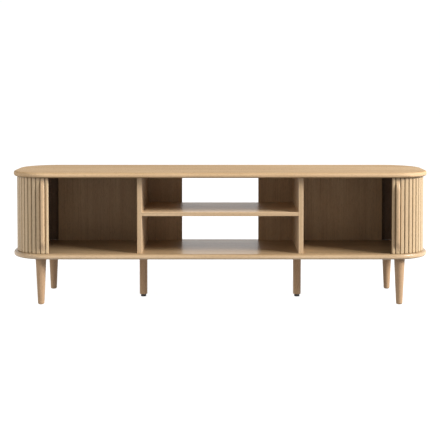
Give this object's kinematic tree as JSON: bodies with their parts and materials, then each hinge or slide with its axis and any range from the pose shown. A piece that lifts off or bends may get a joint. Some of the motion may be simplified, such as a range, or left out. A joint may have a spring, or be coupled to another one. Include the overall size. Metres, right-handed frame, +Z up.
{
  "type": "media cabinet",
  "caption": "Low oak media cabinet with rounded ends, a curved sliding tambour door at each end, a centre shelf, tapered corner legs and slim centre legs.",
  "frame": {"origin": "on the floor under the middle of the cabinet", "axes": "+Z up, +X along the length to the right seen from the front, +Y from the front to the back"},
  "size_m": [1.6, 0.38, 0.505],
  "materials": {
    "panel_oak": "clear matt oil on oak veneer, grain along the length",
    "slat_oak": "clear matt oil on solid oak, upright grain",
    "pull_oak": "clear matt oil on solid oak",
    "board_oak": "clear matt oil on oak veneer",
    "back_oak": "clear matt oil on thin oak veneer, upright grain",
    "leg_oak": "clear matt oil on turned oak",
    "centre_leg_wood": "stained turned hardwood, matt",
    "foot_plastic": "moulded black",
    "hardware_steel": "zinc plated",
    "dowel_beech": "plain beech",
    "stop_plastic": "moulded dark plastic"
  },
  "bodies": {
    "cabinet": {"top_panel": "panel_oak", "bottom_panel": "panel_oak", "left_divider": "board_oak", "right_divider": "board_oak", "centre_shelf": "board_oak", "left_back_panel": "back_oak", "right_back_panel": "back_oak", "front_left_leg": "leg_oak", "front_right_leg": "leg_oak", "rear_left_leg": "leg_oak", "rear_right_leg": "leg_oak", "left_centre_leg": "centre_leg_wood", "right_centre_leg": "centre_leg_wood", "left_levelling_foot": "foot_plastic", "right_levelling_foot": "foot_plastic", "hanger_bolts": "hardware_steel", "divider_dowels": "dowel_beech", "shelf_pins": "hardware_steel", "track_stops": "stop_plastic"},
    "left_leading_slat": {"left_leading_slat": "slat_oak"},
    "left_slat_01": {"left_slat_01": "slat_oak", "left_pull": "pull_oak"},
    "left_slat_02": {"left_slat_02": "slat_oak"},
    "left_slat_03": {"left_slat_03": "slat_oak"},
    "left_slat_04": {"left_slat_04": "slat_oak"},
    "left_slat_05": {"left_slat_05": "slat_oak"},
    "left_slat_06": {"left_slat_06": "slat_oak"},
    "left_slat_07": {"left_slat_07": "slat_oak"},
    "left_slat_08": {"left_slat_08": "slat_oak"},
    "left_slat_09": {"left_slat_09": "slat_oak"},
    "left_slat_10": {"left_slat_10": "slat_oak"},
    "left_slat_11": {"left_slat_11": "slat_oak"},
    "left_slats_12_to_17": {"left_slats_12_to_17": "slat_oak"},
    "left_slats_18_to_20": {"left_slats_18_to_20": "slat_oak"},
    "left_slats_21_to_28": {"left_slats_21_to_28": "slat_oak"},
    "left_slats_29_to_31": {"left_slats_29_to_31": "slat_oak"},
    "left_slats_32_to_37": {"left_slats_32_to_37": "slat_oak"},
    "left_slats_38_to_41": {"left_slats_38_to_41": "slat_oak"},
    "left_slats_42_to_45": {"left_slats_42_to_45": "slat_oak"},
    "right_leading_slat": {"right_leading_slat": "slat_oak"},
    "right_slat_01": {"right_slat_01": "slat_oak", "right_pull": "pull_oak"},
    "right_slat_02": {"right_slat_02": "slat_oak"},
    "right_slat_03": {"right_slat_03": "slat_oak"},
    "right_slat_04": {"right_slat_04": "slat_oak"},
    "right_slat_05": {"right_slat_05": "slat_oak"},
    "right_slat_06": {"right_slat_06": "slat_oak"},
    "right_slat_07": {"right_slat_07": "slat_oak"},
    "right_slat_08": {"right_slat_08": "slat_oak"},
    "right_slat_09": {"right_slat_09": "slat_oak"},
    "right_slat_10": {"right_slat_10": "slat_oak"},
    "right_slat_11": {"right_slat_11": "slat_oak"},
    "right_slats_12_to_17": {"right_slats_12_to_17": "slat_oak"},
    "right_slats_18_to_20": {"right_slats_18_to_20": "slat_oak"},
    "right_slats_21_to_28": {"right_slats_21_to_28": "slat_oak"},
    "right_slats_29_to_31": {"right_slats_29_to_31": "slat_oak"},
    "right_slats_32_to_37": {"right_slats_32_to_37": "slat_oak"},
    "right_slats_38_to_41": {"right_slats_38_to_41": "slat_oak"},
    "right_slats_42_to_45": {"right_slats_42_to_45": "slat_oak"}
  },
  "joints": [
    {"name": "left_door_slide", "type": "slide", "parent": "cabinet", "child": "left_leading_slat", "axis": [1, 0, 0], "range_m": [0, 0.3377]},
    {"name": "left_slat_01_swing", "type": "hinge", "parent": "left_leading_slat", "child": "left_slat_01", "pos_m": [-0.66065, -0.16895, 0.341], "axis": [0, 0, 1], "range_deg": [0, 4.14]},
    {"name": "left_slat_02_swing", "type": "hinge", "parent": "left_leading_slat", "child": "left_slat_02", "pos_m": [-0.67192, -0.16858, 0.341], "axis": [0, 0, 1], "range_deg": [0, 12.32]},
    {"name": "left_slat_03_swing", "type": "hinge", "parent": "left_leading_slat", "child": "left_slat_03", "pos_m": [-0.68092, -0.16778, 0.341], "axis": [0, 0, 1], "range_deg": [0, 20.5]},
    {"name": "left_slat_04_swing", "type": "hinge", "parent": "left_leading_slat", "child": "left_slat_04", "pos_m": [-0.68961, -0.16657, 0.341], "axis": [0, 0, 1], "range_deg": [0, 28.69]},
    {"name": "left_slat_05_swing", "type": "hinge", "parent": "left_leading_slat", "child": "left_slat_05", "pos_m": [-0.69819, -0.16495, 0.341], "axis": [0, 0, 1], "range_deg": [0, 36.87]},
    {"name": "left_slat_06_swing", "type": "hinge", "parent": "left_leading_slat", "child": "left_slat_06", "pos_m": [-0.70672, -0.1629, 0.341], "axis": [0, 0, 1], "range_deg": [0, 45.05]},
    {"name": "left_slat_07_swing", "type": "hinge", "parent": "left_leading_slat", "child": "left_slat_07", "pos_m": [-0.71523, -0.16043, 0.341], "axis": [0, 0, 1], "range_deg": [0, 53.23]},
    {"name": "left_slat_08_swing", "type": "hinge", "parent": "left_leading_slat", "child": "left_slat_08", "pos_m": [-0.72372, -0.15752, 0.341], "axis": [0, 0, 1], "range_deg": [0, 61.41]},
    {"name": "left_slat_09_swing", "type": "hinge", "parent": "left_leading_slat", "child": "left_slat_09", "pos_m": [-0.7322, -0.15416, 0.341], "axis": [0, 0, 1], "range_deg": [0, 69.6]},
    {"name": "left_slat_10_swing", "type": "hinge", "parent": "left_leading_slat", "child": "left_slat_10", "pos_m": [-0.74067, -0.15033, 0.341], "axis": [0, 0, 1], "range_deg": [0, 77.78]},
    {"name": "left_slat_11_swing", "type": "hinge", "parent": "left_leading_slat", "child": "left_slat_11", "pos_m": [-0.74914, -0.14602, 0.341], "axis": [0, 0, 1], "range_deg": [0, 85.96]},
    {"name": "left_slats_12_to_17_swing", "type": "hinge", "parent": "left_leading_slat", "child": "left_slats_12_to_17", "pos_m": [-0.75352, -0.14352, 0.341], "axis": [0, 0, 1], "range_deg": [0, 90.05]},
    {"name": "left_slats_18_to_20_swing", "type": "hinge", "parent": "left_leading_slat", "child": "left_slats_18_to_20", "pos_m": [-0.77558, -0.12641, 0.341], "axis": [0, 0, 1], "range_deg": [0, 102.32]},
    {"name": "left_slats_21_to_28_swing", "type": "hinge", "parent": "left_leading_slat", "child": "left_slats_21_to_28", "pos_m": [-0.79695, -0.10851, 0.341], "axis": [0, 0, 1], "range_deg": [0, 114.6]},
    {"name": "left_slats_29_to_31_swing", "type": "hinge", "parent": "left_slats_21_to_28", "child": "left_slats_29_to_31", "pos_m": [-0.66066, 0.169, 0.341], "axis": [0, 0, 1], "range_deg": [-12.32, 0]},
    {"name": "left_slats_32_to_37_swing", "type": "hinge", "parent": "left_leading_slat", "child": "left_slats_32_to_37", "pos_m": [-0.75352, -0.19418, 0.341], "axis": [0, 0, 1], "range_deg": [0, 90.05]},
    {"name": "left_slats_38_to_41_swing", "type": "hinge", "parent": "left_slats_32_to_37", "child": "left_slats_38_to_41", "pos_m": [-0.50869, 0.169, 0.341], "axis": [0, 0, 1], "range_deg": [-16.41, 0]},
    {"name": "left_slats_42_to_45_swing", "type": "hinge", "parent": "left_leading_slat", "child": "left_slats_42_to_45", "pos_m": [-0.70045, -0.74068, 0.341], "axis": [0, 0, 1], "range_deg": [0, 40.96]},
    {"name": "right_door_slide", "type": "slide", "parent": "cabinet", "child": "right_leading_slat", "axis": [-1, 0, 0], "range_m": [0, 0.3377]},
    {"name": "right_slat_01_swing", "type": "hinge", "parent": "right_leading_slat", "child": "right_slat_01", "pos_m": [0.66065, -0.16895, 0.341], "axis": [0, 0, 1], "range_deg": [-4.14, 0]},
    {"name": "right_slat_02_swing", "type": "hinge", "parent": "right_leading_slat", "child": "right_slat_02", "pos_m": [0.67192, -0.16858, 0.341], "axis": [0, 0, 1], "range_deg": [-12.32, 0]},
    {"name": "right_slat_03_swing", "type": "hinge", "parent": "right_leading_slat", "child": "right_slat_03", "pos_m": [0.68092, -0.16778, 0.341], "axis": [0, 0, 1], "range_deg": [-20.5, 0]},
    {"name": "right_slat_04_swing", "type": "hinge", "parent": "right_leading_slat", "child": "right_slat_04", "pos_m": [0.68961, -0.16657, 0.341], "axis": [0, 0, 1], "range_deg": [-28.69, 0]},
    {"name": "right_slat_05_swing", "type": "hinge", "parent": "right_leading_slat", "child": "right_slat_05", "pos_m": [0.69819, -0.16495, 0.341], "axis": [0, 0, 1], "range_deg": [-36.87, 0]},
    {"name": "right_slat_06_swing", "type": "hinge", "parent": "right_leading_slat", "child": "right_slat_06", "pos_m": [0.70672, -0.1629, 0.341], "axis": [0, 0, 1], "range_deg": [-45.05, 0]},
    {"name": "right_slat_07_swing", "type": "hinge", "parent": "right_leading_slat", "child": "right_slat_07", "pos_m": [0.71523, -0.16043, 0.341], "axis": [0, 0, 1], "range_deg": [-53.23, 0]},
    {"name": "right_slat_08_swing", "type": "hinge", "parent": "right_leading_slat", "child": "right_slat_08", "pos_m": [0.72372, -0.15752, 0.341], "axis": [0, 0, 1], "range_deg": [-61.41, 0]},
    {"name": "right_slat_09_swing", "type": "hinge", "parent": "right_leading_slat", "child": "right_slat_09", "pos_m": [0.7322, -0.15416, 0.341], "axis": [0, 0, 1], "range_deg": [-69.6, 0]},
    {"name": "right_slat_10_swing", "type": "hinge", "parent": "right_leading_slat", "child": "right_slat_10", "pos_m": [0.74067, -0.15033, 0.341], "axis": [0, 0, 1], "range_deg": [-77.78, 0]},
    {"name": "right_slat_11_swing", "type": "hinge", "parent": "right_leading_slat", "child": "right_slat_11", "pos_m": [0.74914, -0.14602, 0.341], "axis": [0, 0, 1], "range_deg": [-85.96, 0]},
    {"name": "right_slats_12_to_17_swing", "type": "hinge", "parent": "right_leading_slat", "child": "right_slats_12_to_17", "pos_m": [0.75352, -0.14352, 0.341], "axis": [0, 0, 1], "range_deg": [-90.05, 0]},
    {"name": "right_slats_18_to_20_swing", "type": "hinge", "parent": "right_leading_slat", "child": "right_slats_18_to_20", "pos_m": [0.77558, -0.12641, 0.341], "axis": [0, 0, 1], "range_deg": [-102.32, 0]},
    {"name": "right_slats_21_to_28_swing", "type": "hinge", "parent": "right_leading_slat", "child": "right_slats_21_to_28", "pos_m": [0.79695, -0.10851, 0.341], "axis": [0, 0, 1], "range_deg": [-114.6, 0]},
    {"name": "right_slats_29_to_31_swing", "type": "hinge", "parent": "right_slats_21_to_28", "child": "right_slats_29_to_31", "pos_m": [0.66066, 0.169, 0.341], "axis": [0, 0, 1], "range_deg": [0, 12.32]},
    {"name": "right_slats_32_to_37_swing", "type": "hinge", "parent": "right_leading_slat", "child": "right_slats_32_to_37", "pos_m": [0.75352, -0.19418, 0.341], "axis": [0, 0, 1], "range_deg": [-90.05, 0]},
    {"name": "right_slats_38_to_41_swing", "type": "hinge", "parent": "right_slats_32_to_37", "child": "right_slats_38_to_41", "pos_m": [0.50869, 0.169, 0.341], "axis": [0, 0, 1], "range_deg": [0, 16.41]},
    {"name": "right_slats_42_to_45_swing", "type": "hinge", "parent": "right_leading_slat", "child": "right_slats_42_to_45", "pos_m": [0.70045, -0.74068, 0.341], "axis": [0, 0, 1], "range_deg": [-40.96, 0]}
  ],
  "couplings": [
    {"joint": "left_slat_01_swing", "follows": "left_door_slide", "rad_per_m": 0.21143},
    {"joint": "left_slat_02_swing", "follows": "left_door_slide", "rad_per_m": 0.63429},
    {"joint": "left_slat_03_swing", "follows": "left_door_slide", "rad_per_m": 1.0571},
    {"joint": "left_slat_04_swing", "follows": "left_door_slide", "rad_per_m": 1.48},
    {"joint": "left_slat_05_swing", "follows": "left_door_slide", "rad_per_m": 1.9029},
    {"joint": "left_slat_06_swing", "follows": "left_door_slide", "rad_per_m": 2.3257},
    {"joint": "left_slat_07_swing", "follows": "left_door_slide", "rad_per_m": 2.7486},
    {"joint": "left_slat_08_swing", "follows": "left_door_slide", "rad_per_m": 3.1714},
    {"joint": "left_slat_09_swing", "follows": "left_door_slide", "rad_per_m": 3.5943},
    {"joint": "left_slat_10_swing", "follows": "left_door_slide", "rad_per_m": 4.0172},
    {"joint": "left_slat_11_swing", "follows": "left_door_slide", "rad_per_m": 4.44},
    {"joint": "left_slats_12_to_17_swing", "follows": "left_door_slide", "rad_per_m": 4.6515},
    {"joint": "left_slats_18_to_20_swing", "follows": "left_door_slide", "rad_per_m": 5.2857},
    {"joint": "left_slats_21_to_28_swing", "follows": "left_door_slide", "rad_per_m": 5.92},
    {"joint": "left_slats_29_to_31_swing", "follows": "left_door_slide", "rad_per_m": -0.63429},
    {"joint": "left_slats_32_to_37_swing", "follows": "left_door_slide", "rad_per_m": 4.6515},
    {"joint": "left_slats_38_to_41_swing", "follows": "left_door_slide", "rad_per_m": -0.84572},
    {"joint": "left_slats_42_to_45_swing", "follows": "left_door_slide", "rad_per_m": 2.1143},
    {"joint": "right_slat_01_swing", "follows": "right_door_slide", "rad_per_m": -0.21143},
    {"joint": "right_slat_02_swing", "follows": "right_door_slide", "rad_per_m": -0.63429},
    {"joint": "right_slat_03_swing", "follows": "right_door_slide", "rad_per_m": -1.0571},
    {"joint": "right_slat_04_swing", "follows": "right_door_slide", "rad_per_m": -1.48},
    {"joint": "right_slat_05_swing", "follows": "right_door_slide", "rad_per_m": -1.9029},
    {"joint": "right_slat_06_swing", "follows": "right_door_slide", "rad_per_m": -2.3257},
    {"joint": "right_slat_07_swing", "follows": "right_door_slide", "rad_per_m": -2.7486},
    {"joint": "right_slat_08_swing", "follows": "right_door_slide", "rad_per_m": -3.1714},
    {"joint": "right_slat_09_swing", "follows": "right_door_slide", "rad_per_m": -3.5943},
    {"joint": "right_slat_10_swing", "follows": "right_door_slide", "rad_per_m": -4.0172},
    {"joint": "right_slat_11_swing", "follows": "right_door_slide", "rad_per_m": -4.44},
    {"joint": "right_slats_12_to_17_swing", "follows": "right_door_slide", "rad_per_m": -4.6515},
    {"joint": "right_slats_18_to_20_swing", "follows": "right_door_slide", "rad_per_m": -5.2857},
    {"joint": "right_slats_21_to_28_swing", "follows": "right_door_slide", "rad_per_m": -5.92},
    {"joint": "right_slats_29_to_31_swing", "follows": "right_door_slide", "rad_per_m": 0.63429},
    {"joint": "right_slats_32_to_37_swing", "follows": "right_door_slide", "rad_per_m": -4.6515},
    {"joint": "right_slats_38_to_41_swing", "follows": "right_door_slide", "rad_per_m": 0.84572},
    {"joint": "right_slats_42_to_45_swing", "follows": "right_door_slide", "rad_per_m": -2.1143}
  ]
}
